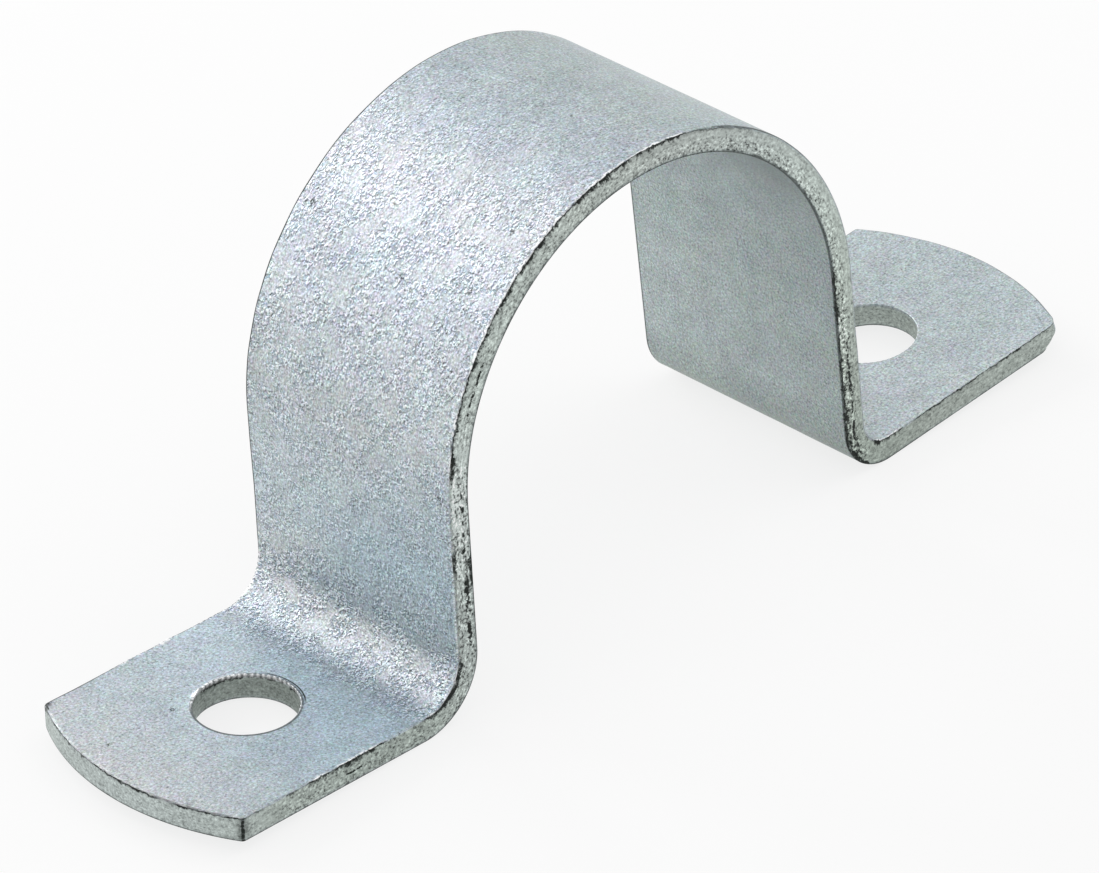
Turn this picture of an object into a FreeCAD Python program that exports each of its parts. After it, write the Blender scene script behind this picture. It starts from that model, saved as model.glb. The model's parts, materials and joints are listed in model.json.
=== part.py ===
import FreeCAD, Part
import math
import os

# Conduit strap: one strip of zinc-plated sheet, punched flat and then bent over a pipe-sized former.
# Millimetres. X runs along the strap, Y across its width, Z up from the wall.
# The origin lies on the wall, straight below the axis of the pipe.

# The pipe it holds, and how the strap sits over it
pipe_diameter = 44.2
seat_clearance = 0.05
# screwed down, the strap still has this far to travel, and that travel grips the pipe
pinch = 1.55

# The strip
width = 25.0
sheet = 2.4
end_radius = 25.4
corner_radius = 0.45
# the punch pulls the outer edges down, and leaves the inner ones nearly sharp
rollover = 0.35
inner_edge = 0.12

# The screw holes
hole_diameter = 9.25
hole_to_end = 15.15

# The two sides, which spring back differently.
# splay: how far the leg leans outward; tilt: how far the foot's end stands off the wall; both in degrees.
# bend: inside radius of the fold; hole_from_bend: from the end of the fold to the hole's centre.
left_side = {"direction": -1, "splay": 0.5, "tilt": 3.0, "bend": 4.0, "hole_from_bend": 8.95}
right_side = {"direction": 1, "splay": 3.2, "tilt": 3.3, "bend": 2.85, "hole_from_bend": 10.4}

seat_radius = pipe_diameter / 2 + seat_clearance
axis_height = pipe_diameter / 2 - pinch
seat_axis = FreeCAD.Vector(0, 0, axis_height)

# how far a cutting tool reaches past the metal that it cuts
overrun = 5.0


def direction(side, angle):
    """A unit vector in the profile's plane; the angle is measured from this side's outward X towards Z."""
    return FreeCAD.Vector(side["direction"] * math.cos(angle), 0, math.sin(angle))


def bend_centre(side):
    """The centre of the fold: clear of the leg by its radius, and low enough for the fold to touch the wall."""
    splay = math.radians(side["splay"])
    reach = seat_radius + sheet + side["bend"]
    height = side["bend"] + sheet
    down_leg = (axis_height + reach * math.sin(splay) - height) / math.cos(splay)
    return seat_axis + direction(side, splay) * reach + direction(side, splay - math.pi / 2) * down_leg


def foot_point(side, along, above):
    """A point on the foot: along it from the end of the fold, and above its underside."""
    tilt = math.radians(side["tilt"])
    up = direction(side, tilt + math.pi / 2)
    start = bend_centre(side) - up * (side["bend"] + sheet)
    return start + direction(side, tilt) * along + up * above


def foot_length(side):
    return side["hole_from_bend"] + hole_to_end


def side_edges(side, depth):
    """Foot, fold and leg of one face of the sheet, from the foot's end upward; depth is measured from the inner face."""
    splay = math.radians(side["splay"])
    tilt = math.radians(side["tilt"])
    centre = bend_centre(side)
    radius = side["bend"] + sheet - depth
    middle = (splay + tilt) / 2 - 3 * math.pi / 4
    foot_end = foot_point(side, foot_length(side), depth)
    foot_start = foot_point(side, 0, depth)
    leg_foot = centre - direction(side, splay) * radius
    leg_top = seat_axis + direction(side, splay) * (seat_radius + depth)
    fold = Part.Arc(foot_start, centre + direction(side, middle) * radius, leg_foot)
    return [
        Part.LineSegment(foot_end, foot_start).toShape(),
        fold.toShape(),
        Part.LineSegment(leg_foot, leg_top).toShape(),
    ]


def face_path(depth):
    """One face of the sheet seen from the side, from the end of one foot to the end of the other."""
    rising = side_edges(left_side, depth)
    falling = side_edges(right_side, depth)[::-1]
    crown = seat_axis + FreeCAD.Vector(0, 0, seat_radius + depth)
    saddle = Part.Arc(rising[-1].Vertexes[-1].Point, crown, falling[0].Vertexes[-1].Point)
    return rising + [saddle.toShape()] + falling


def bent_strip():
    """The sheet's side view, drawn out to its width."""
    across = FreeCAD.Vector(0, width, 0)
    inner = face_path(0)
    outer = face_path(sheet)
    ends = [
        Part.LineSegment(foot_point(side, foot_length(side), 0), foot_point(side, foot_length(side), sheet))
        for side in (left_side, right_side)
    ]
    edges = inner + outer + [end.toShape() for end in ends]
    outline = Part.Wire(Part.__sortEdges__(edges))
    return Part.Face(outline).extrude(across).translated(across * -0.5)


def foot_cylinder(side, along, radius):
    """A cylinder square to the foot, through the sheet, standing on its centre line."""
    base = foot_point(side, along, -overrun)
    axis = foot_point(side, along, sheet + overrun) - base
    return Part.makeCylinder(radius, axis.Length, base, axis)


def end_waste(side):
    """What the punch trims away to round the foot's end."""
    centre = foot_length(side) - end_radius
    start = centre + end_radius * 0.8
    corner = foot_point(side, start, -overrun) - FreeCAD.Vector(0, width / 2 + overrun, 0)
    along = foot_point(side, foot_length(side) + overrun, -overrun) - foot_point(side, start, -overrun)
    up = foot_point(side, start, sheet + overrun) - foot_point(side, start, -overrun)
    outline = Part.makePolygon([corner, corner + along, corner + along + up, corner + up, corner])
    block = Part.Face(outline).extrude(FreeCAD.Vector(0, width + 2 * overrun, 0))
    return block.cut(foot_cylinder(side, centre, end_radius))


def corner_edges(strap):
    """The upright edges where a rounded end meets the strip's long edges."""
    found = []
    for edge in strap.Edges:
        middle = edge.CenterOfMass
        upright = abs(edge.Length - sheet) < 0.01
        if upright and abs(abs(middle.y) - width / 2) < 0.01:
            found.append(edge)
    return found


def rim_edges(strap, depth):
    """The edges all round one face of the sheet, without the folds' tangent lines and the holes."""
    skin = Part.Wire(Part.__sortEdges__(face_path(depth))).extrude(FreeCAD.Vector(0, width, 0))
    skin.translate(FreeCAD.Vector(0, -width / 2, 0))
    found = []
    for edge in strap.Edges:
        first, last = edge.ParameterRange
        middle = edge.valueAt((first + last) / 2)
        on_skin = all(skin.distToShape(Part.Vertex(p))[0] < 0.001 for p in (middle, edge.valueAt(first)))
        tangent_line = abs(edge.tangentAt((first + last) / 2).y) > 0.999 and edge.Length > width / 2
        hole = edge.isClosed()
        if on_skin and not tangent_line and not hole:
            found.append(edge)
    return found


def make_strap():
    strap = bent_strip()
    for side in (left_side, right_side):
        strap = strap.cut(end_waste(side))
        strap = strap.cut(foot_cylinder(side, side["hole_from_bend"], hole_diameter / 2))
    strap = strap.makeFillet(corner_radius, corner_edges(strap))
    strap = strap.makeFillet(rollover, rim_edges(strap, sheet))
    return strap.makeFillet(inner_edge, rim_edges(strap, 0))


strap = make_strap()
os.makedirs("parts", exist_ok=True)
strap.exportStep("parts/strap.step")

box = strap.BoundBox
print("solids", len(strap.Solids), "valid", strap.isValid(), "volume", round(strap.Volume, 1))
print("size", round(box.XLength, 2), round(box.YLength, 2), round(box.ZLength, 2))
print("from", round(box.XMin, 3), round(box.YMin, 3), round(box.ZMin, 4))
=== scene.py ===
# %% [markdown]
# # A zinc-plated conduit strap
# The strap is one strip of sheet steel. A press punches it flat, with two screw holes and two
# rounded ends, and bends it over a former the size of the pipe. Then it is plated with zinc.
# This lesson makes it in the same order: a flat blank, a rough sheared edge, and then the bending.
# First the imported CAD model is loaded. It says how large the strap is and where everything lies.

# %% Load the frame
import json
import math

import bmesh
import bpy
from mathutils import Matrix, Vector, noise


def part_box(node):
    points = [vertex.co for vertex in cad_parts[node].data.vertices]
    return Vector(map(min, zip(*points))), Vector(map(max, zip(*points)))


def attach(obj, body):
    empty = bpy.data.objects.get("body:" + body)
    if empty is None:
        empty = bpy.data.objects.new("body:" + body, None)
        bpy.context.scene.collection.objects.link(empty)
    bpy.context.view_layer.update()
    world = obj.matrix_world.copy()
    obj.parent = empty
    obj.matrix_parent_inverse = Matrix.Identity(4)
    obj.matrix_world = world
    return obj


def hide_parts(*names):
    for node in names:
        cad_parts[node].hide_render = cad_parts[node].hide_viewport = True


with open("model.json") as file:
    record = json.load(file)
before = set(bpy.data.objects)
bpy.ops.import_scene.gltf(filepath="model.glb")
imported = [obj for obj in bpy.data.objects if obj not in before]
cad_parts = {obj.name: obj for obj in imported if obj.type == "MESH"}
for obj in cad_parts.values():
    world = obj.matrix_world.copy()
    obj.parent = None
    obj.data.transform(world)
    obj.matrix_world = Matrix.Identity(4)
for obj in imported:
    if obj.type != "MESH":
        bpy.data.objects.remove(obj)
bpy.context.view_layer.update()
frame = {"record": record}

MM = 0.001
BODY = "root"
NODE = "strap"

mounts = {mount["name"]: mount for mount in frame["record"]["mounts"]}
lowest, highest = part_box(NODE)
print("CAD box in mm:", [round(v / MM, 2) for v in (*lowest, *highest)])

# %% [markdown]
# ## The sizes that the frame gives
# The strap's mounts hold what matters to whoever fits it: the pipe's seat, and the two screw holes
# with their axes. The width comes from the box. All shaping below is in millimetres, because the
# details are fractions of one, and the finished mesh is scaled to metres at the end. The inner radii
# of the folds, each hole's distance from its fold and the arc of the ends are set here.

# %% Read the sizes
seat = mounts["pipe_seat"]
screw_holes = {-1: mounts["left_screw_hole"], 1: mounts["right_screw_hole"]}

seat_radius = seat["dims"]["r_mm"]
axis_height = seat["pos_m"][2] / MM
sheet = screw_holes[1]["dims"]["length_mm"]
hole_radius = screw_holes[1]["dims"]["r_mm"]
half_width = (highest.y - lowest.y) / MM / 2
end_x = {-1: lowest.x / MM, 1: highest.x / MM}

fold_radius = {-1: 4.0, 1: 2.85}
hole_from_fold = {-1: 8.95, 1: 10.4}
end_radius = 25.4
print(f"sheet {sheet} mm, {2 * half_width:.1f} mm wide, over a pipe of radius {seat_radius} mm")

# %% [markdown]
# ## The strap's side view
# Seen from the side, each half of the strap runs from the crown down a quarter of the saddle, a short
# straight leg, a fold and a foot. The foot's place and tilt follow from its screw hole's axis. The
# fold is an arc that touches the foot and the leg, so the leg's lean follows from the two ends.
# Each half is worked out with X counted outward, which makes the two sides the same sum.


# %% Work out each half's stations
def half_strap(out):
    hole = screw_holes[out]
    up = Vector((out * hole["axis"][0], hole["axis"][2]))
    foot = Vector((up.y, -up.x))
    middle = Vector((out * hole["pos_m"][0], hole["pos_m"][2])) / MM
    outside = fold_radius[out] + sheet
    fold_start = middle - up * (sheet / 2) - foot * hole_from_fold[out]
    fold_centre = fold_start + up * outside
    to_end = (out * end_x[out] - middle.x + up.x * sheet / 2) / foot.x

    from_axis = fold_centre - Vector((0, axis_height))
    reach = seat_radius + sheet + fold_radius[out]
    lean = math.atan2(from_axis.y, from_axis.x) + math.acos(reach / from_axis.length)
    tilt = math.atan2(foot.y, foot.x)
    square = Vector((math.cos(lean), math.sin(lean)))
    down = Vector((square.y, -square.x))

    saddle = (math.pi / 2 - lean) * (seat_radius + sheet / 2)
    leg = saddle + from_axis.dot(down)
    fold = leg + (math.pi / 2 + tilt - lean) * (fold_radius[out] + sheet / 2)
    return {
        "out": out, "up": up, "foot": foot, "square": square, "down": down, "lean": lean,
        "fold_start": fold_start, "fold_centre": fold_centre,
        "saddle": saddle, "leg": leg, "fold": fold,
        "hole": fold + hole_from_fold[out], "end": fold + hole_from_fold[out] + to_end,
    }


halves = {out: half_strap(out) for out in (-1, 1)}
for out, half in halves.items():
    lengths = {name: round(half[name], 2) for name in ("saddle", "leg", "fold", "hole", "end")}
    print("right" if out > 0 else "left", lengths, f"leans {math.degrees(half['lean']):.2f} degrees")

# %% [markdown]
# ## The blank
# The blank is the strip before any bending. Along it, X is the distance from the crown, measured at
# the middle of the sheet. A grid is the right start, because bending needs many rows across the
# length, and the roughness of the sheared edges needs small cells. Its columns are stretched a
# little so that one runs through the centre of each hole. The outermost rows and columns are wider
# than the others, to leave room for the rounded edge.

# %% Lay out the grid
cell = 0.31
rows = 64
border = 0.8
row = (2 * half_width - 2 * border) / (rows - 2)


def between(value, marks, places):
    """Straight-line interpolation: where a value among the marks lies among the places."""
    for low, high, start, stop in zip(marks, marks[1:], places, places[1:]):
        if value <= high or high == marks[-1]:
            return start + (value - low) / (high - low) * (stop - start)


ends = [-halves[-1]["end"], halves[1]["end"]]
stations = [ends[0] + border, -halves[-1]["hole"], halves[1]["hole"], ends[1] - border]
columns = [1]
for start, stop in zip(stations, stations[1:]):
    columns.append(columns[-1] + round((stop - start) / cell))
stations = [ends[0], *stations, ends[1]]
columns = [0, *columns, columns[-1] + 1]

blank = bmesh.new()
bmesh.ops.create_grid(blank, x_segments=columns[-1], y_segments=rows, size=1)
for vert in blank.verts:
    column = (vert.co.x + 1) / 2 * columns[-1]
    line = (vert.co.y + 1) / 2 * rows
    vert.co.x = between(column, columns, stations)
    vert.co.y = between(line, [0, 1, rows - 1, rows],
                        [-half_width, border - half_width, half_width - border, half_width])
print(len(blank.faces), "cells in a blank", round(stations[-1] - stations[0], 1), "mm long")

# %% [markdown]
# ## Punch the screw holes
# A round hole in a square grid starts as a square one. The cells inside a square are deleted, and the
# rings of vertices round it are moved onto circles. The pull fades with each ring, so that the grid
# is square again before it reaches the fold.

# %% Make the holes round
HOLE_COLUMNS = 14
HOLE_ROWS = 11
RINGS = 13


def ease(t):
    t = min(max(t, 0.0), 1.0)
    return t * t * (3 - 2 * t)


def punch(mesh, centre):
    half_square = Vector((HOLE_COLUMNS * cell, HOLE_ROWS * row))
    waste = []
    for face in mesh.faces:
        middle = face.calc_center_median()
        if abs(middle.x - centre) < half_square.x and abs(middle.y) < half_square.y:
            waste.append(face)
    bmesh.ops.delete(mesh, geom=waste, context="FACES")
    for vert in mesh.verts:
        x = (vert.co.x - centre) / half_square.x
        y = vert.co.y / half_square.y
        ring = (max(abs(x), abs(y)) - 1) * HOLE_ROWS
        if ring > RINGS:
            continue
        turn = math.pi / 4 * (y / abs(x) if abs(x) >= abs(y) else x / abs(y))
        radius = hole_radius + ring * cell
        if abs(x) >= abs(y):
            spot = Vector((math.copysign(math.cos(turn), x), math.sin(turn)))
        else:
            spot = Vector((math.sin(turn), math.copysign(math.cos(turn), y)))
        pull = ease(1 - ring / RINGS)
        vert.co.x += pull * (centre + spot.x * radius - vert.co.x)
        vert.co.y += pull * (spot.y * radius - vert.co.y)


hole_at = {out: out * half["hole"] for out, half in halves.items()}
for out in halves:
    punch(blank, hole_at[out])
print("holes centred at", [round(x, 2) for x in hole_at.values()])

# %% [markdown]
# ## Round the ends
# The punch trims each foot to an arc. Past the hole, each column of the grid is pulled back towards
# the hole by as much as the arc falls behind its own highest point, a little more with each column.

# %% Trim the ends to arcs
END_CLEAR = 0.4


def arc_fall(y):
    return end_radius - math.sqrt(end_radius ** 2 - y ** 2)


for vert in blank.verts:
    half = halves[1 if vert.co.x > 0 else -1]
    start = half["hole"] + hole_radius + END_CLEAR
    past = (abs(vert.co.x) - start) / (half["end"] - start)
    vert.co.x -= half["out"] * ease(past) * arc_fall(vert.co.y)
print("ends fall back", round(arc_fall(half_width), 2), "mm at their corners")

# %% [markdown]
# ## Give it thickness
# The flat region is extruded to the sheet's thickness, which makes the walls of the cut as well.

# %% Extrude the blank
TOUCHING = 1e-4
HOLE_REACH = 1.0

grown = bmesh.ops.extrude_face_region(blank, geom=blank.faces[:])
lifted = [item for item in grown["geom"] if isinstance(item, bmesh.types.BMVert)]
bmesh.ops.translate(blank, vec=(0, 0, sheet), verts=lifted)
bmesh.ops.recalc_face_normals(blank, faces=blank.faces[:])
print("extruded:", len(blank.faces), "faces, boundary edges", sum(e.is_boundary for e in blank.edges))


def from_hole(point):
    """How far a point of the blank is from the nearer hole's wall."""
    centre = hole_at[1 if point.x > 0 else -1]
    return math.hypot(point.x - centre, point.y) - hole_radius


def upright(edge):
    return abs(edge.verts[0].co.z - edge.verts[1].co.z) > sheet / 2

# %% [markdown]
# ## Soften the edges
# A punch drags the metal's outer skin down at the cut, which leaves a soft outer edge and a nearly
# sharp inner one, so the two get bevels of different sizes, after the four upright corners. At a rim,
# exactly one of the two faces that meet there is level, and that is how the rims are found.

# %% Bevel the corners and rims
CORNER_EDGE = 0.24
ROLLOVER = 0.30
INNER_EDGE = 0.13
HOLE_EDGE = 0.10


def rim_of(mesh, height, at_hole):
    """The edges round one face of the sheet, at the holes or all round the outside."""
    found = []
    for edge in mesh.edges:
        if any(abs(v.co.z - height) > TOUCHING for v in edge.verts):
            continue
        if sorted(abs(f.normal.z) > 0.5 for f in edge.link_faces) != [False, True]:
            continue
        if (from_hole(edge.verts[0].co) < HOLE_REACH) == at_hole:
            found.append(edge)
    return found


def is_corner(edge):
    """Whether an edge is one of the blank's four upright corners."""
    on_side = abs(abs(edge.verts[0].co.y) - half_width) < TOUCHING
    return upright(edge) and on_side and sum(abs(f.normal.y) > 0.95 for f in edge.link_faces) == 1


def soften(edges, size, segments):
    bmesh.ops.bevel(blank, geom=edges, offset=size, offset_type="OFFSET", segments=segments, profile=0.5,
                    affect="EDGES", material=-1)
    print("bevel:", size, "mm in", segments, "segments, now", len(blank.faces), "faces")


soften([e for e in blank.edges if is_corner(e)], CORNER_EDGE, 3)
soften(rim_of(blank, sheet, False), ROLLOVER, 4)
soften(rim_of(blank, 0, False), INNER_EDGE, 2)
soften(rim_of(blank, sheet, True), HOLE_EDGE, 2)
soften(rim_of(blank, 0, True), HOLE_EDGE, 2)

# %% [markdown]
# ## Divide the walls
# The walls are divided into rows for the roughness of the cut, and the holes' edges are cut finer for
# the burr. Blender numbers the new vertices differently each time, so they are sorted by place.

# %% Divide the walls and holes
WALL_ROWS = 8
HOLE_CUTS = 2


def round_hole(edge):
    """Whether an edge runs round a hole's wall or its rounded rims."""
    start, stop = (v.co for v in edge.verts)
    return (max(abs(from_hole(start)), abs(from_hole(stop))) < HOLE_EDGE + 0.02
            and abs(start.z - stop.z) < TOUCHING and abs(from_hole(start) - from_hole(stop)) < 10 * TOUCHING)


bmesh.ops.subdivide_edges(blank, edges=[e for e in blank.edges if upright(e)], cuts=WALL_ROWS - 1)
bmesh.ops.subdivide_edges(blank, edges=[e for e in blank.edges if round_hole(e)], cuts=HOLE_CUTS)
along_first = Vector((1e6, 1e3, 1))
blank.verts.sort(key=lambda vert: vert.co.dot(along_first))
blank.faces.sort(key=lambda face: face.calc_center_median().dot(along_first))
print("divided:", len(blank.verts), "vertices,", sum(len(f.verts) - 2 for f in blank.faces), "triangles")

# %% [markdown]
# ## Where each vertex lies on the blank
# The finish follows the metal, not the room: streaks run along the cut, and the plating changes
# towards an edge. So before anything is bent, every vertex gets its place on the blank, and how far
# it is from each edge, counted inward over the face and downward over the wall. These are stored as
# attributes, and the materials read them. The same numbers steer the roughening below.


# %% Measure the blank
ON_SURFACE = 0.01


def to_outline(point):
    """Distance to the nearest wall in the sheet's plane, and the direction away from it."""
    out = 1 if point.x > 0 else -1
    side = 1 if point.y > 0 else -1
    best = (half_width - abs(point.y), Vector((0, -side, 0)))
    from_centre = Vector((point.x - out * (halves[out]["end"] - end_radius), point.y, 0))
    to_end = end_radius - from_centre.length
    if abs(point.x) > halves[out]["hole"] and to_end < best[0]:
        best = (to_end, -from_centre.normalized())
    from_middle = Vector((point.x - hole_at[out], point.y, 0))
    to_hole = from_middle.length - hole_radius
    if to_hole < best[0]:
        best = (to_hole, from_middle.normalized())
    return best


flat = [v.co.copy() for v in blank.verts]
inward = [to_outline(p) for p in flat]
print("on the walls:", sum(distance < ON_SURFACE for distance, _ in inward), "vertices")

# %% [markdown]
# ## How the shear tore the edge
# A worn shear leaves a torn lip in places, and a narrow crevice under it. Here that happens over
# stretches of the front edge, each given as where it starts and ends, in millimetres from the crown,
# and how strong it is. Along the other edges it happens here and there. Perlin noise breaks them up.
# It only depends on the place, so every run gives the same.

# %% Tear strength along the edges
OUTER_TEARS = [
    (-84, -78, 0.5), (-75, -72, 0.35), (-72, -64, 0.9), (-59, -51.5, 0.65), (-43, -40, 0.4),
    (-33.5, -27, 0.8), (-26, 4.5, 1.05), (4.5, 14, 0.3), (56, 60, 1.0), (62, 83, 0.38),
]
INNER_TEARS = [
    (-44, -41, 1.2), (-20, -10, 0.2), (10, 35, 0.25), (35, 39.5, 1.8), (40, 44, 0.7), (44, 50, 1.2),
    (50, 56, 1.6),
]
OUTER_SEED, INNER_SEED = 3.0, 7.0
PATCH_SEED = 40
EDGE_BAND = 1.2
HOLE_TEAR_AT = math.radians(110)
END_TEAR_FROM = 3 - halves[-1]["end"]


def around(p):
    """The angle round the nearer hole, from the strap's end and over the far side."""
    out = 1 if p.x > 0 else -1
    return math.atan2(p.y, out * (p.x - hole_at[out])) % (2 * math.pi)


def perlin(p, waves, seed):
    """Noise from -1 to 1 that depends on the place in the sheet's plane, with waves per millimetre."""
    return noise.noise(Vector((p.x * waves, p.y * waves, seed)))


def on_front_edge(p):
    return p.y < 0.1 - half_width


def stretch_strength(x, stretches):
    return sum(s * ease((x - a) / 2 + 0.5) * ease((b - x) / 2 + 0.5) for a, b, s in stretches)


def tear(point, stretches, seed):
    """0 where the cut is clean, and 1 or more where it is torn."""
    broken = 0.75 + 0.9 * perlin(point, 0.55, seed)
    if on_front_edge(point):
        return max(0.0, stretch_strength(point.x, stretches) * broken)
    if abs(from_hole(point)) < HOLE_REACH:
        far_side = max(0.0, math.cos(around(point) - HOLE_TEAR_AT) + 0.4)
        return 0.6 * far_side * broken if point.x < 0 and seed == OUTER_SEED else 0.1
    if point.x < END_TEAR_FROM:
        return 0.4 * broken if seed == OUTER_SEED else 0.0
    return max(0.0, min(1.2, perlin(point, 0.11, seed + PATCH_SEED) * 2.2 + 0.1) * broken)


outer_tear, inner_tear = [], []
for p, (distance, _) in zip(flat, inward):
    in_band = distance < EDGE_BAND
    beside = in_band and half_width - abs(p.y) < EDGE_BAND
    edge_point = Vector((p.x, math.copysign(half_width, p.y), 0)) if beside else p
    outer_tear.append(tear(edge_point, OUTER_TEARS, OUTER_SEED) if in_band else 0.0)
    inner_tear.append(tear(edge_point, INNER_TEARS, INNER_SEED) if in_band else 0.0)
print("torn vertices:", sum(t > 0.3 for t in outer_tear), "outer,", sum(t > 0.3 for t in inner_tear), "inner")

# %% [markdown]
# ## What lies between the two rims
# Three more things change along the cut: a broken line at its middle, where the smooth part ends,
# light and dark flecks, and how far down the smooth skin reaches. On the left hole's wall, the middle
# line's number gives a dark ring on the side towards the crown.

# %% Middle line, flecks and skin
MIDDLE_TEARS = [(-69, -66, 0.4), (-50, -43, 1.3), (-42, -35, 0.6), (-29, -23, 0.6), (42, 54, 0.7)]
FLECKED = [(-76, -56, 0.75), (-56, -32, 0.95), (-31, 0, 0.65), (0, 30, 0.8), (30, 38, 0.9), (38, 56, 1.4)]
LEAST_FLECKS = 0.4
DEEP_SKIN = [(-58, -31, 1.0)]
RING_AT = math.radians(185)
RING_DEPTH = 0.3


def middle_tear(p):
    """Strength of the middle line, and of the dark ring at the left hole."""
    if p.x < 0 and abs(from_hole(p)) < EDGE_BAND:
        facing = math.cos(around(p) - RING_AT)
        return 0.0 if p.z < sheet - RING_DEPTH else ease((facing - 0.75) / 0.15)
    return stretch_strength(p.x, MIDDLE_TEARS) if on_front_edge(p) else 0.0


def flecking(p):
    """Strength of the flecks, which fade on the smooth skin near the right half's outer rim."""
    if not on_front_edge(p):
        return LEAST_FLECKS
    smooth_skin = ease((1.5 - sheet + p.z) / 0.8) if 0 < p.x < 56 else 0.0
    return max(LEAST_FLECKS, stretch_strength(p.x, FLECKED)) * (1 - 0.6 * smooth_skin)


def skin_depth(p):
    """How much further down the wall the smooth skin reaches, over the left leg's front edge."""
    return 0.28 * stretch_strength(p.x, DEEP_SKIN) if p.y < EDGE_BAND - half_width else 0.0


print("the middle line has", len(MIDDLE_TEARS), "stretches")

# %% [markdown]
# ## Roughen the cut
# Every move goes into the metal, never out of it, so the strap keeps its size. The rolled-over
# corner gets a radius that wanders. The walls get fine fracture marks drawn out along the cut, a
# slow waviness, and a crevice below each torn lip.

# %% Roughen the walls and edges
CREVICE_DEPTH = 0.16
CREVICE_WIDTH = 0.11
MIDDLE_DEPTH = 0.85


def wave(p, along, up, seed):
    """Noise from 0 to 1, with waves per millimetre along the sheet and through it."""
    return 0.5 + 0.5 * noise.noise(Vector((p.x * along + seed, p.y * along, p.z * up)))


def crevice(below, p, strength, seed):
    """How deep the crevice is at a distance below its rim, as a share of the deepest."""
    centre = 0.30 + 0.16 * perlin(p, 0.8, seed)
    return strength * math.exp(-((below - centre) / CREVICE_WIDTH) ** 2)


deepest = 0.0
for vert, p, (distance, away), outer, inner in zip(blank.verts, flat, inward, outer_tear, inner_tear):
    below = sheet - p.z
    at_hole = abs(from_hole(p)) < HOLE_REACH
    move = Vector()
    if max(distance, below) < ROLLOVER + ON_SURFACE and not at_hole:
        softer = 0.6 + 0.6 * wave(p, 0.35, 0, 11) - 0.45 * min(outer, 1.0)
        move += (away * distance - Vector((0, 0, below))) * (softer - 1)
    if distance < ON_SURFACE:
        fracture = 0.05 * wave(p, 1.3, 3.0, 20) + 0.03 * wave(p, 0.3, 0.5, 31)
        if at_hole:
            fracture *= 0.5
        middle = 0.0 if at_hole else middle_tear(p)
        cut = CREVICE_DEPTH * (crevice(below, p, outer, 5.0) + crevice(p.z, p, inner, 9.0)
                               + crevice(below - MIDDLE_DEPTH, p, middle, 13.0))
        move += away * (fracture + cut)
        deepest = max(deepest, fracture + cut)
    vert.co += move
print("the walls are cut back by", round(deepest, 2), "mm at most")

# %% [markdown]
# ## The burr round the left hole
# The punch pushed a thin scalloped lip of metal up round the far side of the left hole, with one
# taller tag. Its lobes are a sine round the hole, squared twice to make them stand apart. The right
# hole only has a faint ring.

# %% Raise the burr
LOBES = 56
BURR_REACH = 0.12
BURR_AT = math.radians(135)
TAG_AT, TAG_SPREAD = math.radians(67), 0.12


def noise_round(turn, waves, seed):
    """Noise from -1 to 1 that closes on itself after a full turn."""
    return noise.noise(Vector((waves * math.cos(turn), waves * math.sin(turn), seed)))


def burr_height(p):
    turn = around(p)
    wobble = 1.5 * noise_round(turn, 3, 2.0)
    lobe = math.sin(LOBES / 2 * turn + wobble) ** 2
    if p.x > 0:
        return 0.03 * lobe
    far_side = max(0.0, math.cos(turn - BURR_AT) + 0.25) / 1.25
    uneven = 0.7 + 0.6 * noise_round(turn, 2, 6.0)
    tag = math.exp(-((turn - TAG_AT) / TAG_SPREAD) ** 4)
    return 0.02 + 0.36 * math.sqrt(far_side) * (0.05 + lobe ** 2) * uneven + 0.55 * tag


burr = []
for vert, p in zip(blank.verts, flat):
    away = from_hole(p)
    near_rim = away < 3 * BURR_REACH and p.z > sheet - 0.2
    height = burr_height(p) * math.exp(-(away / BURR_REACH) ** 2) if near_rim else 0.0
    burr.append(height)
    if height > 0.0:
        to_wall = Vector((p.x - hole_at[1 if p.x > 0 else -1], p.y, 0)).normalized()
        vert.co += Vector((0, 0, height)) - to_wall * height * 0.4
print("burr:", round(max(burr), 2), "mm at its highest")

# %% [markdown]
# ## Dents and a worn corner
# The faces carry a few small dents from handling. Each is a shallow bowl with a centre, a radius and a
# depth. The right foot's front corner is worn round, most of all on its underside, so its vertices
# are pulled onto a circle whose radius changes with the height.

# %% Press the dents and wear the corner
DENTS = [
    (-19.8, -1.7, 0.55, 0.07), (-17.4, 10.8, 0.5, 0.05), (-0.9, 6.6, 0.4, 0.03), (-80.4, 3.8, 0.4, 0.06),
    (-73.1, 3.9, 0.6, 0.02), (-12.4, -9.4, 0.45, 0.05), (-11.4, -10.7, 0.4, 0.04), (-18.1, -9.0, 0.4, 0.05),
    (-35.3, -11.6, 0.6, 0.06), (-33.6, 5.4, 0.35, 0.03), (-26.5, 8.3, 0.35, 0.03),
]
WORN, ROLLED = 2.2, 1.0


def dent(p):
    """How deep a point of the outer face lies in a dent, from 0 to 1, and the depth in millimetres."""
    share, depth = 0.0, 0.0
    for x, y, radius, deep in DENTS:
        near = math.exp(-((p.x - x) ** 2 + (p.y - y) ** 2) / radius ** 2)
        if near > 0.02:
            share, depth = max(share, near), depth + near * deep
    return share, depth


dents = [dent(p) if p.z > sheet - ON_SURFACE else (0.0, 0.0) for p in flat]
for vert, p, (_, depth) in zip(blank.verts, flat, dents):
    vert.co.z -= depth
    from_centre = Vector((p.x - halves[1]["end"] + end_radius, p.y, 0))
    u, v = end_radius - from_centre.length, half_width + p.y
    radius = WORN * max(0.0, 1 - p.z / sheet) ** 2.5 + ROLLED * (p.z / sheet) ** 4
    spare = math.hypot(radius - u, radius - v) - radius
    if p.x > halves[1]["hole"] and u < radius and v < radius and spare > 0:
        pull = spare / (spare + radius)
        from_side = Vector((0, 1, 0)) * (radius - v) * pull
        vert.co += from_side - from_centre.normalized() * (radius - u) * pull
print("dented:", sum(share > 0.3 for share, _ in dents), "vertices")

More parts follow.
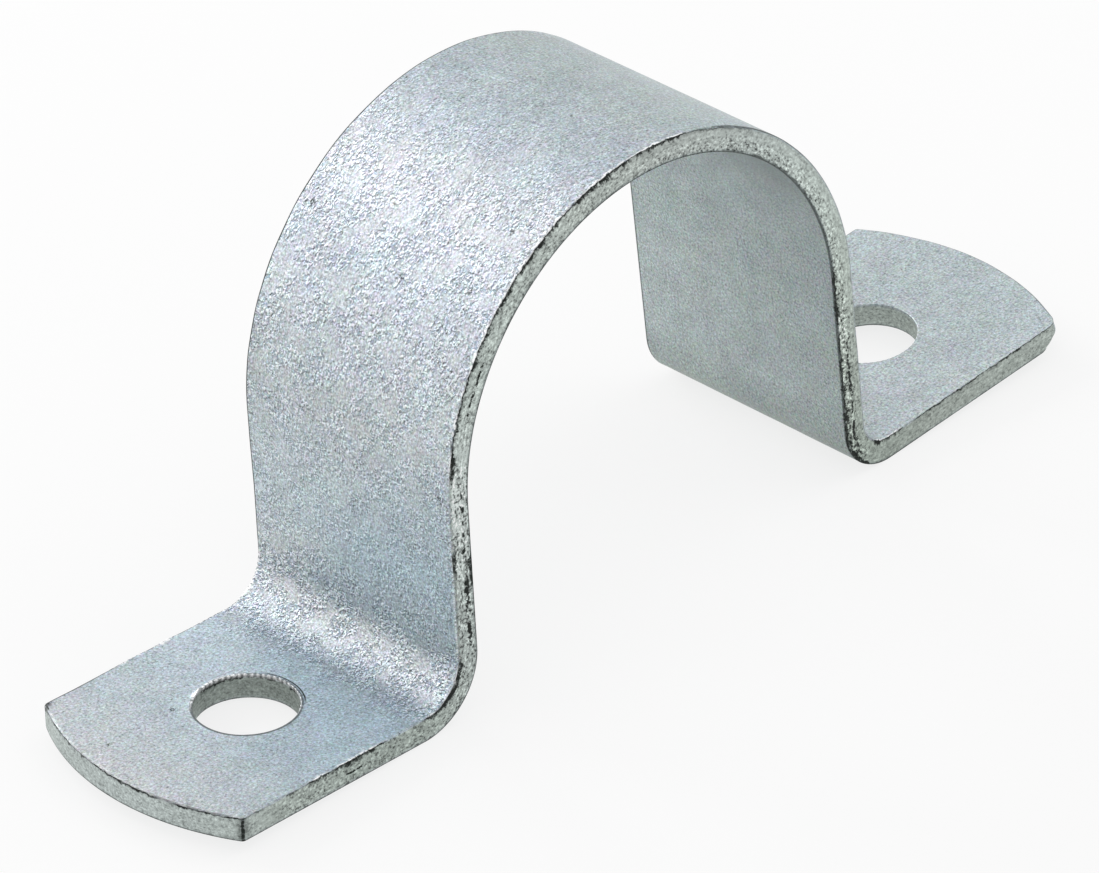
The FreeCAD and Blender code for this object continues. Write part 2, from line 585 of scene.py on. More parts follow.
# %% [markdown]
# ## Slow unevenness of the faces
# Rolled sheet is never quite flat, and the former presses it unevenly. A few hundredths of a
# millimetre are enough to make the reflections wander.

# %% Uneven faces
CLEARANCE = 0.003
FACE_BAND, INNER_BAND = 0.4, 0.14

dips = []
for vert, p, (distance, _) in zip(blank.verts, flat, inward):
    level = 1 if p.z > sheet / 2 else -1
    dip = 0.012 + 0.02 * wave(p, 0.16, 0, 50 + 9 * level) + 0.012 * wave(p, 0.6, 0, 70 + 9 * level)
    if p.z > sheet - FACE_BAND or p.z < INNER_BAND:
        dips.append(CLEARANCE + dip * ease(distance / FACE_BAND))
        vert.co.z -= level * dips[-1]
print("the faces lie up to", round(max(dips), 3), "mm inside the sheet")

# %% [markdown]
# ## Bend the blank
# Each vertex is now carried from the blank to its place on the bent strap. Its distance from the
# crown says which stretch it lies on, and its depth says how far it stands off the pipe's side.


# %% Bend it
def bent(point):
    half = halves[1 if point.x > 0 else -1]
    along = abs(point.x)
    depth = point.z
    axis = Vector((0, axis_height))
    if along < half["saddle"]:
        turn = math.pi / 2 - along / (seat_radius + sheet / 2)
        spot = axis + Vector((math.cos(turn), math.sin(turn))) * (seat_radius + depth)
    elif along < half["leg"]:
        spot = axis + half["square"] * (seat_radius + depth) + half["down"] * (along - half["saddle"])
    elif along < half["fold"]:
        radius = fold_radius[half["out"]]
        turn = math.pi + half["lean"] + (along - half["leg"]) / (radius + sheet / 2)
        off_centre = Vector((math.cos(turn), math.sin(turn))) * (radius + sheet - depth)
        spot = half["fold_centre"] + off_centre
    else:
        spot = half["fold_start"] + half["foot"] * (along - half["fold"]) + half["up"] * depth
    return Vector((half["out"] * spot.x, point.y, spot.y))


for vert in blank.verts:
    vert.co = bent(vert.co) * MM

strap_mesh = bpy.data.meshes.new("strap_metal")
blank.to_mesh(strap_mesh)
blank.free()


def store(name, values):
    layer = strap_mesh.attributes.new(name, "FLOAT_VECTOR", "POINT")
    layer.data.foreach_set("vector", [number for value in values for number in value])


store("blank", flat)
store("rims", [(d - (sheet - p.z) + skin_depth(p), d - p.z, from_hole(p)) for p, (d, _) in zip(flat, inward)])
strap_mesh.shade_smooth()
strap_metal = bpy.data.objects.new("strap_metal", strap_mesh)
bpy.context.scene.collection.objects.link(strap_metal)
print("strap:", [round(v / MM, 2) for v in strap_metal.dimensions])

# %% [markdown]
# ## Small helpers for shader nodes
# The finishes below are built from nodes. One helper adds a node and fills in its inputs, whether
# with a value or with another node's output. The others use it for the kinds that come up again and
# again, and the last two start and finish a node group.


# %% Node helpers
def add(tree, kind, inputs=None, **settings):
    """Adds a node. Inputs are given by name or number; an output socket is linked, a value is set."""
    node = tree.nodes.new("ShaderNode" + kind)
    for name, value in settings.items():
        setattr(node, name, value)
    for name, value in (inputs or {}).items():
        if isinstance(value, bpy.types.NodeSocket):
            tree.links.new(value, node.inputs[name])
        else:
            node.inputs[name].default_value = value
    return node


def math_node(tree, operation, *values, clamp=False):
    inputs = dict(enumerate(values))
    return add(tree, "Math", inputs, operation=operation, use_clamp=clamp).outputs[0]


def multiply(tree, first, second, clamp=False):
    return math_node(tree, "MULTIPLY", first, second, clamp=clamp)


def noise_node(tree, place, scale, detail=2.0, roughness=0.5, distortion=0.0):
    shape = {"Scale": scale, "Detail": detail, "Roughness": roughness, "Distortion": distortion}
    return add(tree, "TexNoise", {"Vector": place, **shape}).outputs["Fac"]


def remap(tree, value, low, high, start=0.0, stop=1.0, smooth=False):
    inputs = {"Value": value, "From Min": low, "From Max": high, "To Min": start, "To Max": stop}
    kind = "SMOOTHSTEP" if smooth else "LINEAR"
    return add(tree, "MapRange", inputs, interpolation_type=kind).outputs[0]


def blend(tree, share, first, second, how="MIX"):
    node = add(tree, "Mix", {"Factor": share}, data_type="RGBA", blend_type=how)
    for socket, value in ((node.inputs[6], first), (node.inputs[7], second)):
        if isinstance(value, bpy.types.NodeSocket):
            tree.links.new(value, socket)
        else:
            socket.default_value = (*value, 1)
    return node.outputs[2]


def stretched(tree, place, scales):
    return add(tree, "Mapping", {"Vector": place, "Scale": scales}).outputs[0]


def start_group(name, inputs, outputs):
    group = bpy.data.node_groups.new(name, "ShaderNodeTree")
    for socket, kind in inputs.items():
        group.interface.new_socket(socket, in_out="INPUT", socket_type="NodeSocket" + kind)
    for socket, kind in outputs.items():
        group.interface.new_socket(socket, in_out="OUTPUT", socket_type="NodeSocket" + kind)
    return group, group.nodes.new("NodeGroupInput").outputs, group.nodes.new("NodeGroupOutput")


def finish_group(group, end, results):
    for name, socket in results.items():
        group.links.new(socket, end.inputs[name])
    print("group", group.name, "has", len(group.nodes), "nodes")


# %% [markdown]
# ## The plated face: pebbles
# Where bending stretched or squeezed the steel, its grains rise and the face turns pebbled, like
# orange peel, in patches. Each pebble gets painted light on one flank and painted shade on the other,
# as if lit from one fixed side. That is made from one noise, read twice a little apart: the difference
# is the slope between the two places. All of it is placed on the flat blank, in millimetres.

# %% Group: zinc face, the pebbles
PEEL = {"scale": 2.7, "detail": 1.0, "roughness": 0.5, "distortion": 0.9}
FLANK_STEP = (0.07, 0.07, 0.0)
PAINTED_FLANK_LIGHT = 0.26

group, given, end = start_group(
    "zinc_face",
    {"Place": "Vector", "Tone": "Color", "Pebble": "Float", "Marks": "Vector"},
    {"Color": "Color", "Roughness": "Float", "Height": "Float"},
)
place, tone = given["Place"], given["Tone"]
marks = add(group, "SeparateXYZ", {0: given["Marks"]}).outputs

calm = noise_node(group, place, 0.42, roughness=0.6)
pebble = multiply(group, given["Pebble"], remap(group, calm, 0.38, 0.54, 0.25, 1.0, smooth=True))
peel = noise_node(group, place, **PEEL)
beside = add(group, "VectorMath", {0: place, 1: FLANK_STEP}, operation="ADD").outputs[0]
slope = math_node(group, "SUBTRACT", peel, noise_node(group, beside, **PEEL))
# Painted light and shade on the pebbles' flanks, from the slope between the two readings.
painted_flank_shading = remap(group, slope, -0.12, 0.12, -PAINTED_FLANK_LIGHT, PAINTED_FLANK_LIGHT)
print("the pebbles take", len(group.nodes), "nodes")

# %% [markdown]
# ## The plated face: grain and clouds
# Zinc goes on as fine crystals, so the face has a grain of a few tenths of a millimetre, stronger
# where it is pebbled. The plating's thickness drifts too, which gives soft clouds and smaller patches.

# %% Group: zinc face, the grain
GRAIN_LIGHT = 0.62

grain = noise_node(group, place, 4.5, detail=3.0, roughness=0.8)
clouds = noise_node(group, place, 0.13, detail=3.0, roughness=0.6)
patches = noise_node(group, place, 0.55, detail=3.0, roughness=0.6, distortion=0.4)
cloud_light = remap(group, clouds, 0.3, 0.7, 0.95, 1.05)
light = math_node(group, "ADD", cloud_light, remap(group, patches, 0.3, 0.7, -0.08, 0.08))
grain_light = remap(group, grain, 0.3, 0.7, -GRAIN_LIGHT, GRAIN_LIGHT)
grain_light = multiply(group, grain_light, math_node(group, "MULTIPLY_ADD", pebble, 0.3, 0.8))
light = math_node(group, "ADD", light, grain_light)
# The pebbles' painted flank light and shade goes into the brightness where the face is pebbled.
light = math_node(group, "MULTIPLY_ADD", painted_flank_shading, pebble, light)
print("with the grain,", len(group.nodes), "nodes")

# %% [markdown]
# ## The plated face: furrows and crests
# Curly dark furrows of painted shade run between the pebbles, and short crests get painted highlights.
# Both are contour lines of the pebbles' noise, the places where it passes one level. The grain breaks
# the furrows up.


# %% Group: zinc face, the furrows
def contour(value, level, half=0.015, fade=0.06):
    """1 along the places where a noise passes a level: a curly line."""
    off = math_node(group, "ABSOLUTE", math_node(group, "SUBTRACT", value, level))
    return remap(group, off, half, half + fade, 1, 0, smooth=True)


broken = remap(group, grain, 0.40, 0.54, 0.15, 1.0, smooth=True)
# Painted shade in the furrows between the pebbles, broken up by the grain.
painted_furrow_shade = multiply(group, contour(peel, 0.47), multiply(group, broken, pebble))
# Painted highlights along the pebbles' crests.
painted_crest_highlights = multiply(group, contour(peel, 0.60), pebble)
light = math_node(group, "MULTIPLY_ADD", painted_crest_highlights, 0.20, light)
print("with the furrows,", len(group.nodes), "nodes")

# %% [markdown]
# ## Pits, scratches and marks on the face
# Three smaller things finish the face. Pits are dark dots where the plating is thin. Scratches are
# noise squeezed hard in one direction, so that only thin lines pass the threshold. The dents
# in the mesh get painted shade in their middles, broken up by the grain.

# %% Finish the zinc face
PIT_SHAPE, SCRATCH_SHAPE = (2.0, 3.0, 2.0), (6.5, 0.7, 1.0)
PAINTED_FURROW_SHADE_TINT = (0.50, 0.60, 0.68)
PEBBLE_HEIGHT, GRAIN_HEIGHT = 0.022, 0.012

pits = noise_node(group, stretched(group, place, PIT_SHAPE), 1.0, roughness=0.6)
pit_share = multiply(group, remap(group, pits, 0.66, 0.73, smooth=True), 0.45)
scratches = noise_node(group, stretched(group, place, SCRATCH_SHAPE), 1.0, 1.0, distortion=0.3)
scratch_share = multiply(group, remap(group, scratches, 0.70, 0.76, smooth=True), 0.30)
# Painted shade in the middle of each dent, the hollow pressed into the mesh.
dent_share = remap(group, marks["X"], 0.35, 0.8, smooth=True)
painted_shade = multiply(group, dent_share, remap(group, grain, 0.42, 0.54, 0.85, 0.05))
shade = light
for loss in (pit_share, scratch_share, painted_shade):
    shade = multiply(group, shade, math_node(group, "SUBTRACT", 1.0, loss))
tint = tone
for share, scale, detail in ((0.34, 3.4, 1.0), (0.09, 0.32, 2.0)):
    hues = noise_node(group, place, scale, detail).node.outputs["Color"]
    tint = blend(group, share, tint, hues, "SOFT_LIGHT")
# The furrows' painted shade darkens the colour towards blue.
tint = blend(group, multiply(group, painted_furrow_shade, 0.85, clamp=True), tint, PAINTED_FURROW_SHADE_TINT, "MULTIPLY")
color = add(group, "VectorMath", {0: tint}, operation="SCALE")
group.links.new(shade, color.inputs["Scale"])

bumps = multiply(group, remap(group, peel, 0.36, 0.62, 0, PEBBLE_HEIGHT, smooth=True), pebble)
height = math_node(group, "MULTIPLY_ADD", grain, GRAIN_HEIGHT, bumps)
rough = math_node(group, "MULTIPLY_ADD", pebble, 0.08, remap(group, patches, 0.3, 0.7, 0.37, 0.45))
finish_group(group, end, {"Color": color.outputs[0], "Roughness": rough, "Height": height})
zinc_face = group

# %% [markdown]
# ## The sheared edge
# The cut is rough steel under the same plating. Its upper part, next to the outer face, is smooth
# where the blade slid along it. Below, the metal broke, and the break is duller and greener, with
# light and dark flecks.

# %% Group: sheared edge, the break
FLECK_SHAPE, DOT_SHAPE, STREAK_SHAPE = (1.8, 1.8, 3.0), (3.8, 3.8, 4.6), (0.5, 0.5, 5.0)
DARKEST = 0.12
STEERING = ("Rims", "Tears", "Cuts", "Marks")

group, given, end = start_group(
    "sheared_edge",
    {"Place": "Vector", "Tone": "Color", **dict.fromkeys(STEERING, "Vector")},
    {"Color": "Color", **dict.fromkeys(("Roughness", "Height", "Share", "Dark", "PaintedLipGlint"), "Float")},
)
place = given["Place"]
rims, tears, cuts, marks = (add(group, "SeparateXYZ", {0: given[name]}).outputs for name in STEERING)

flecks = noise_node(group, stretched(group, place, FLECK_SHAPE), 1.0, 3.0, 0.7, 0.5)
dots = noise_node(group, stretched(group, place, DOT_SHAPE), 1.0, roughness=0.6)
streaks = noise_node(group, stretched(group, place, STREAK_SHAPE), 1.0, roughness=0.6)
bright_dots = remap(group, dots, 0.54, 0.64, 0, 0.75, smooth=True)
dark_dots = remap(group, dots, 0.46, 0.36, 0, 0.85, smooth=True)
speckled = remap(group, flecks, 0.3, 0.7, -0.30, 0.35)
speckled = math_node(group, "ADD", speckled, math_node(group, "SUBTRACT", bright_dots, dark_dots))
streak_light = remap(group, streaks, 0.3, 0.7, 0.86, 1.14)
cut_light = math_node(group, "MULTIPLY_ADD", speckled, cuts["Y"], streak_light)
cut_light = math_node(group, "MAXIMUM", cut_light, DARKEST)
color = add(group, "VectorMath", {0: given["Tone"]}, operation="SCALE")
group.links.new(cut_light, color.inputs["Scale"])
print("the break takes", len(group.nodes), "nodes")

# %% [markdown]
# ## How a line on the edge is drawn
# The mesh stores each point's distance below the rims, so a line is where that distance is near some
# value, and it stays sharp between the vertices. A torn line wanders with a noise, and it is wider
# where the tear is stronger.

# %% Group: sheared edge, line helpers
wander = noise_node(group, place, 1.3, detail=3.0, roughness=0.65)
wander = remap(group, wander, 0.25, 0.75, -0.16, 0.16)
ragged = remap(group, noise_node(group, place, 3.0, roughness=0.6), 0.3, 0.7, 0.45, 1.45)
dashes = remap(group, noise_node(group, place, 1.7, roughness=0.6), 0.46, 0.54, smooth=True)


def torn_line(rim, strength, offset, width, least):
    """1 along a ragged line below a rim, fading with the strength of the tear."""
    off = math_node(group, "ADD", math_node(group, "ADD", rim, offset), wander)
    off = math_node(group, "ABSOLUTE", off)
    reach = math_node(group, "MULTIPLY_ADD", strength, width, least)
    reach = multiply(group, reach, ragged)
    line = math_node(group, "SUBTRACT", 1.0, math_node(group, "DIVIDE", off, reach), clamp=True)
    line = multiply(group, line, 2.5, clamp=True)
    return multiply(group, line, multiply(group, strength, 3.0, clamp=True))


def plain_line(rim, offset, half, fade):
    """1 along a plain line, fading out over a short distance on both sides."""
    off = math_node(group, "ABSOLUTE", math_node(group, "ADD", rim, offset))
    return remap(group, off, half, half + fade, 1, 0, smooth=True)


print("with the wandering,", len(group.nodes), "nodes")

# %% [markdown]
# ## Lines along the sheared edge
# A ragged dark line of painted shadow runs along the outer edge wherever the shear tore it, in the
# crevice under the torn lip, with a painted glint on the lip of bent metal beside it. A dashed line
# of painted shade marks where the smooth part ends, and a fine one follows the inner edge. The
# corner's painted shade and the ring in the left hole are dark too.

# %% Group: sheared edge, the lines
frayed = remap(group, flecks, 0.36, 0.46, 0.45, 1.0, smooth=True)
# The dark lines are painted shade: shadow in the crevices under the torn lips, at the middle of the cut and
# along the inner edge, and a shaded line along the rims.
outer_line = multiply(group, torn_line(rims["X"], tears["X"], 0.17, width=0.42, least=0.08), frayed)
inner_line = multiply(group, torn_line(rims["Y"], tears["Y"], 0.14, width=0.30, least=0.04), frayed)
middle_line = multiply(group, torn_line(rims["X"], cuts["X"], 1.32, width=0.22, least=0.04), dashes)
shifted = math_node(group, "MULTIPLY_ADD", cuts["Z"], -0.16, rims["X"])
rim_line = multiply(group, plain_line(shifted, 0.05, half=0.11, fade=0.10), cuts["Z"])
rim_shade = multiply(group, plain_line(rims["Y"], -0.05, half=0.12, fade=0.10), 0.70)
# Painted shade down the left foot's torn front corner and in the nick at its far corner.
corner_line = multiply(group, marks["Y"], multiply(group, ragged, 1.5), clamp=True)
hole_ring = multiply(group, plain_line(rims["Z"], -0.40, half=0.03, fade=0.07), cuts["X"])
dark = rim_line
for line in (outer_line, inner_line, middle_line, rim_shade, corner_line, hole_ring):
    dark = math_node(group, "MAXIMUM", dark, line)
# A painted glint on each torn lip and on the burr round the left hole.
painted_lip_glint = torn_line(rims["X"], tears["X"], -0.12, width=0.22, least=0.06)
painted_lip_glint = multiply(group, painted_lip_glint, remap(group, ragged, 0.7, 1.0, 0, 0.85))
painted_lip_glint = multiply(group, painted_lip_glint, remap(group, tears["X"], 0.3, 0.8, 0.15, 1.0))
painted_lip_glint = math_node(group, "MAXIMUM", painted_lip_glint, marks["Z"])
print("with its lines,", len(group.nodes), "nodes")

# %% [markdown]
# ## Where the cut begins
# The share says how much of the broken edge's finish a point gets. It runs from the outer rim to the
# inner one, and its outer limit wanders too. The lines are also pressed in a little, by the same
# height that carries the flecks.

# %% Finish the sheared edge
FLECK_HEIGHT, STREAK_HEIGHT, LINE_DEPTH = 0.06, 0.05, 0.08

share = remap(group, math_node(group, "ADD", rims["X"], wander), -0.06, -0.24, smooth=True)
inner_share = remap(group, rims["Y"], 0.05, -0.05, smooth=True)
share = multiply(group, share, inner_share)
fleck_height = multiply(group, multiply(group, speckled, cuts["Y"]), FLECK_HEIGHT)
height = math_node(group, "MULTIPLY_ADD", streaks, STREAK_HEIGHT, fleck_height)
height = math_node(group, "MULTIPLY_ADD", dark, -LINE_DEPTH, height)
rough = remap(group, flecks, 0.3, 0.7, 0.58, 0.42)
finish_group(group, end, {
    "Color": color.outputs[0], "Roughness": rough, "Height": height, "Share": share, "Dark": dark, "PaintedLipGlint": painted_lip_glint,
})
sheared_edge = group

# %% [markdown]
# ## Tone along the strip
# The tone of the face changes along the strip: bluish on the left leg, whiter at the fold, and
# greener and softly mottled on the pipe's side. It is partly the zinc's own colour and partly painted
# light and shade, each stretch of the face and of the cut made lighter or darker as the light falls on
# it. Each stop is a distance from the crown and then, in hundredths, either red, green and blue or
# the strength of the pebbling.

# %% Tables of tone and pebbling
OUTER_TONE_AND_PAINTED_LIGHT = [
    (-83, 50, 53, 55), (-74, 46, 52, 56), (-62, 49, 57, 63), (-58, 45, 49, 53), (-54, 49, 51, 53),
    (-50, 52, 56, 57), (-44, 53, 60, 63), (-32, 51, 55, 57), (-20, 48, 51, 55), (-12, 53, 55, 58),
    (-4, 45, 50, 54), (6, 41, 47, 48), (62, 44, 49, 51), (84, 45, 51, 53),
]
INNER_TONE_AND_PAINTED_LIGHT = [
    (-84, 43, 48, 47), (16, 34, 39, 38), (28, 38, 44, 44), (40, 43, 49, 49), (50, 45, 51, 51),
    (55, 31, 36, 34), (60, 30, 35, 33), (64, 42, 48, 46),
]
CUT_TONE_AND_PAINTED_LIGHT = [
    (-84, 46, 51, 50), (-76, 42, 47, 44), (-66, 37, 42, 39), (-58, 39, 44, 41), (-52, 48, 53, 51),
    (-46, 49, 54, 52), (-36, 64, 70, 68), (-24, 50, 56, 53), (-8, 49, 54, 51), (4, 45, 49, 47),
    (14, 49, 54, 52), (24, 51, 57, 54), (36, 48, 54, 50), (44, 42, 47, 43), (55, 36, 41, 37),
    (64, 36, 40, 37), (84, 42, 47, 44),
]
OUTER_PEBBLE = [
    (-83, 15), (-62, 25), (-59, 150), (-52, 150), (-47, 85), (-38, 95), (-28, 110), (-12, 120),
    (-4, 60), (6, 20), (60, 15), (84, 15),
]
INNER_PEBBLE = 0.3
INNER_MOTTLE = 0.09
HOLE_SHADE = 0.72
print("stops:", len(OUTER_TONE_AND_PAINTED_LIGHT), len(INNER_TONE_AND_PAINTED_LIGHT), len(CUT_TONE_AND_PAINTED_LIGHT), len(OUTER_PEBBLE))

# %% [markdown]
# ## Between the stops
# Each vertex gets the value between the two stops next to it, and the left hole's wall is darker.


# %% Give each vertex its tone
def along_strip(x, stops):
    """The values at x between the stops, one for each column after the first."""
    places, *columns = zip(*stops)
    x = min(max(x, places[0]), places[-1])
    return tuple(between(x, places, [part / 100 for part in column]) for column in columns)


# Painted light and shade along the strip, from the tone tables; the inner face also grows lighter towards the
# far edge.
def tone_and_painted_light_at(p, distance):
    if distance < 2 * ON_SURFACE and 0.15 < p.z < sheet - 0.2:
        shade = HOLE_SHADE if abs(from_hole(p)) < HOLE_REACH and p.x < 0 else 1.0
        return tuple(part * shade for part in along_strip(p.x, CUT_TONE_AND_PAINTED_LIGHT))
    if p.z > sheet / 2:
        return along_strip(p.x, OUTER_TONE_AND_PAINTED_LIGHT)
    mottle = 1 + INNER_MOTTLE * noise.fractal(Vector((p.x * 0.35, p.y * 0.35, 60.0)), 1.0, 2.0, 3)
    return tuple(part * (0.95 + 0.008 * p.y) * mottle for part in along_strip(p.x, INNER_TONE_AND_PAINTED_LIGHT))


def face_pebble(p):
    return along_strip(p.x, OUTER_PEBBLE)[0] if p.z > sheet / 2 else INNER_PEBBLE


store("tone", [tone_and_painted_light_at(p, distance) for p, (distance, _) in zip(flat, inward)])
store("tears", [(o, i, face_pebble(p)) for o, i, p in zip(outer_tear, inner_tear, flat)])
print("tone at the crown:", [round(part, 2) for part in along_strip(0, OUTER_TONE_AND_PAINTED_LIGHT)])

# %% [markdown]
# ## Marks and lines along the edges
# Six more numbers go with each vertex: how strong the middle line, the flecks and the plain rim line
# are, then the painted shade in a dent, the painted shade at a corner and the painted glint on a burr.
# The far edge has the strongest rim line of painted shade, and two stretches of the front one stand
# out as well. A line of painted shade runs down the left foot's front corner.

# %% Store the marks
FAR_LINE, RIGHT_FAR_LINE, FRONT_LINE, ARCH_LINE, END_LINE = 1.0, 0.5, 0.35, 0.75, 0.55
HOLE_LINE, RIGHT_HOLE_LINE = 0.8, 0.2
CORNER_SHADE_RADIUS, NICK_RADIUS, NICK_DEPTH = 0.24, 0.5, 0.6
# The burr height at which its painted glint is full.
GLINT_FULL_AT_BURR = 0.14
corner_x = halves[-1]["end"] - arc_fall(half_width)


# How strong the rim line of painted shade is, edge by edge.
def rim_strength(p):
    if abs(from_hole(p)) < HOLE_REACH:
        return HOLE_LINE if p.x < 0 else RIGHT_HOLE_LINE
    if p.y > half_width - EDGE_BAND:
        return FAR_LINE if p.x < 40 else RIGHT_FAR_LINE
    if p.y < EDGE_BAND - half_width:
        return ARCH_LINE if 8 < p.x < 34 or 42 < p.x < 52 else FRONT_LINE
    return END_LINE


def corner_painted_shade(p):
    """Painted shade down the torn front corner of the left foot and in the nick at its far corner."""
    front = math.hypot(p.x + corner_x, p.y + half_width)
    far = math.hypot(p.x + corner_x, p.y - half_width) if p.z > sheet - NICK_DEPTH else math.inf
    return max(math.exp(-(front / CORNER_SHADE_RADIUS) ** 2), 0.9 * math.exp(-(far / NICK_RADIUS) ** 2))


cut_values = [(middle_tear(p), flecking(p), rim_strength(p)) for p in flat]
mark_values = [
    (painted_shade, corner_painted_shade(p), min(1.0, raised / GLINT_FULL_AT_BURR)) for p, (painted_shade, _), raised in zip(flat, dents, burr)
]
store("cuts", cut_values)
store("marks", mark_values)
print("marked:", sum(painted_shade > 0.3 for _, painted_shade, _ in mark_values), "corner vertices")

# %% [markdown]
# ## Two materials from the two groups
# The broad faces only need the first group. Near an edge, the second is mixed over the first, where
# the metal is cut, and the painted shade of the dark lines and the painted glints on the lips go on
# top. The shader is fully metallic, so its base colour is the colour of its reflections.

# %% Build the materials
SOCKETS = ("Place", "Rims", "Tears", "Tone", "Cuts", "Marks")
LAYERS = ("blank", "rims", "tears", "tone", "cuts", "marks")
# Colour of the painted shade along the edges.
PAINTED_SHADE_COLOR = (0.025, 0.03, 0.027)
# Colour of the painted glints on the lips and the burr.
PAINTED_GLINT_COLOR = (0.98, 0.99, 1.0)


def zinc_material(name, has_edge):
    material = bpy.data.materials.new(name)
    material.use_nodes = True
    tree = material.node_tree
    shader = tree.nodes["Principled BSDF"]
    shader.inputs["Metallic"].default_value = 1.0
    stored = {
        socket: add(tree, "Attribute", attribute_name=layer).outputs["Vector"]
        for socket, layer in zip(SOCKETS, LAYERS)
    }
    stored["Pebble"] = add(tree, "SeparateXYZ", {0: stored["Tears"]}).outputs["Z"]
    face = add(tree, "Group", node_tree=zinc_face)
    for socket in ("Place", "Tone", "Pebble", "Marks"):
        tree.links.new(stored[socket], face.inputs[socket])
    color, rough, height = face.outputs["Color"], face.outputs["Roughness"], face.outputs["Height"]
    if has_edge:
        edge = add(tree, "Group", node_tree=sheared_edge)
        for socket in ("Place", "Tone", "Rims", "Tears", "Cuts", "Marks"):
            tree.links.new(stored[socket], edge.inputs[socket])
        share = edge.outputs["Share"]
        color = blend(tree, share, color, edge.outputs["Color"])
        # The edges' painted shade goes on top, then their painted glints.
        color = blend(tree, edge.outputs["Dark"], color, PAINTED_SHADE_COLOR)
        color = blend(tree, edge.outputs["PaintedLipGlint"], color, PAINTED_GLINT_COLOR)
        rough = add(tree, "Mix", {0: share, 2: rough, 3: edge.outputs["Roughness"]}).outputs[0]
        height = add(tree, "Mix", {0: share, 2: height, 3: edge.outputs["Height"]}).outputs[0]
    bump = add(tree, "Bump", {"Strength": 1.0, "Distance": MM, "Height": height})
    tree.links.new(color, shader.inputs["Base Color"])
    tree.links.new(rough, shader.inputs["Roughness"])
    tree.links.new(bump.outputs[0], shader.inputs["Normal"])
    return material


strap_mesh.materials.append(zinc_material("zinc_on_face", False))
strap_mesh.materials.append(zinc_material("zinc_on_cut_edge", True))
near = [distance < EDGE_BAND for distance, _ in inward]
for face in strap_mesh.polygons:
    face.material_index = int(any(near[v] for v in face.vertices))
edge_faces = sum(face.material_index for face in strap_mesh.polygons)
print("faces near an edge:", edge_faces, "of", len(strap_mesh.polygons))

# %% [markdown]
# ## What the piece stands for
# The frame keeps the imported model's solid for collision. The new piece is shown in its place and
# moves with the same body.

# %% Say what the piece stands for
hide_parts(NODE)
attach(strap_metal, BODY)
print(strap_metal.name, "stands for", NODE)

# %% [markdown]
# ## The floor
# Metal shows what stands round it, so the studio is as important as the finish. The floor is a large
# white sheet of paper. Its material mixes a plain white that the camera and the reflections see with
# a matte one that takes the strap's shadow.

# %% Floor
FLOOR_WHITE = 0.78

bpy.ops.mesh.primitive_plane_add(size=6, location=(0, 0, 0))
floor = bpy.context.object
floor.name = "studio_floor"
paper = bpy.data.materials.new("studio_paper")
paper.use_nodes = True
plain = paper.node_tree.nodes["Principled BSDF"]
plain.inputs["Base Color"].default_value = (0.93, 0.93, 0.93, 1)
plain.inputs["Roughness"].default_value = 1.0
plain.inputs["Specular IOR Level"].default_value = 0.0
floor.data.materials.append(paper)


def seen_rays(tree):
    """1 for the camera's rays and for those that metal or glass sends on, 0 for the rest."""
    path = add(tree, "LightPath").outputs
    seen = math_node(tree, "ADD", path["Is Camera Ray"], path["Is Glossy Ray"])
    return math_node(tree, "ADD", seen, path["Is Transmission Ray"], clamp=True)


tree = paper.node_tree
white = add(tree, "Emission", {"Strength": 1.0})
mix = add(tree, "MixShader", {0: multiply(tree, seen_rays(tree), FLOOR_WHITE)})
tree.links.new(plain.outputs[0], mix.inputs[1])
tree.links.new(white.outputs[0], mix.inputs[2])
tree.links.new(mix.outputs[0], tree.nodes["Material Output"].inputs[0])
print("floor:", round(floor.dimensions.x, 1), "m wide")

# %% [markdown]
# ## The surround
# The world behind the floor is the same white for the camera and for reflections. For the light
# that it sheds on matte things it is dimmer, so that the lamps still throw a soft shadow.

# %% Surround
AMBIENT = 0.7

world = bpy.data.worlds.new("studio_surround")
bpy.context.scene.world = world
world.use_nodes = True
tree = world.node_tree
level = remap(tree, seen_rays(tree), 0.0, 1.0, AMBIENT, 1.0)
tree.links.new(level, tree.nodes["Background"].inputs["Strength"])
tree.nodes["Background"].inputs["Color"].default_value = (1, 1, 1, 1)
print("surround: level", AMBIENT, "on matte things")

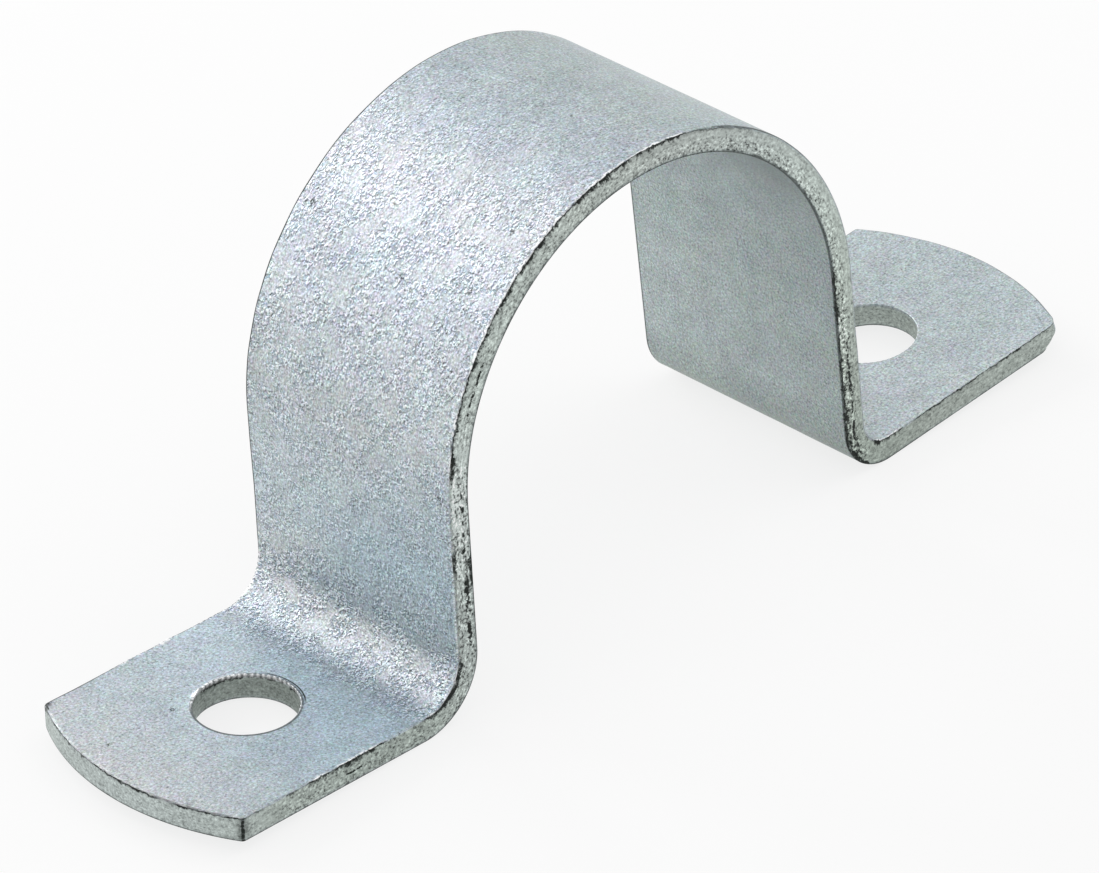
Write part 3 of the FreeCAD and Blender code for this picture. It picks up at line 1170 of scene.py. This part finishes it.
# %% [markdown]
# ## The lamps
# Three square lamps stand round the strap. The strongest is low behind it and draws the bright bands
# over the shoulder and the fold. The other two only lift the darker sides. Each is set by the level
# at which it lights a white card, which doesn't change when the lamp is moved or resized.


# %% Lamps
def softbox(name, toward, distance, size, level):
    """A square lamp that lights a white card at the strap to the given level."""
    aim = Vector((0, 0, axis_height * MM))
    place = aim + Vector(toward).normalized() * distance
    light = bpy.data.lights.new(name, "AREA")
    light.shape = "SQUARE"
    light.size = size
    light.energy = level * math.pi ** 2 * distance ** 2
    lamp = bpy.data.objects.new(name, light)
    lamp.location = place
    lamp.rotation_euler = (aim - place).to_track_quat("-Z", "Y").to_euler()
    bpy.context.scene.collection.objects.link(lamp)
    print(name, "has", round(light.energy, 1), "watts")


softbox("back_lamp", (0.0, 0.94, 0.34), 0.8, 0.55, 0.47)
softbox("left_lamp", (-0.66, 0.60, 0.45), 0.8, 0.7, 0.10)
softbox("right_lamp", (0.6, -0.25, 0.76), 0.8, 0.55, 0.12)

# %% [markdown]
# ## The camera
# The camera looks down at the strap from its front left, from a little over half a metre, through a
# long lens that keeps the sides nearly parallel. It is rolled slightly to one side.

# %% Camera
azimuth, elevation, roll = math.radians(-42.61), math.radians(33.20), math.radians(-3.66)
target = Vector((-1.021, 0.0, 11.676)) * MM
away = 0.6211
across = math.cos(elevation)
back = Vector((math.sin(azimuth) * across, -math.cos(azimuth) * across, math.sin(elevation)))

camera_data = bpy.data.cameras.new("studio_camera")
camera_data.sensor_width = 36
camera_data.lens = 233.84
camera = bpy.data.objects.new("studio_camera", camera_data)
camera.location = target + back * away
turned = back.to_track_quat("Z", "Y").to_matrix() @ Matrix.Rotation(roll, 3, "Z")
camera.rotation_euler = turned.to_euler()
bpy.context.scene.collection.objects.link(camera)
bpy.context.scene.camera = camera
bpy.context.scene.view_settings.view_transform = "Standard"
print("camera at", [round(c, 3) for c in camera.location])

# %% [markdown]
# ## Finish
# The finished piece has to lie inside the box of the imported model.

# %% Finish
print("finished")
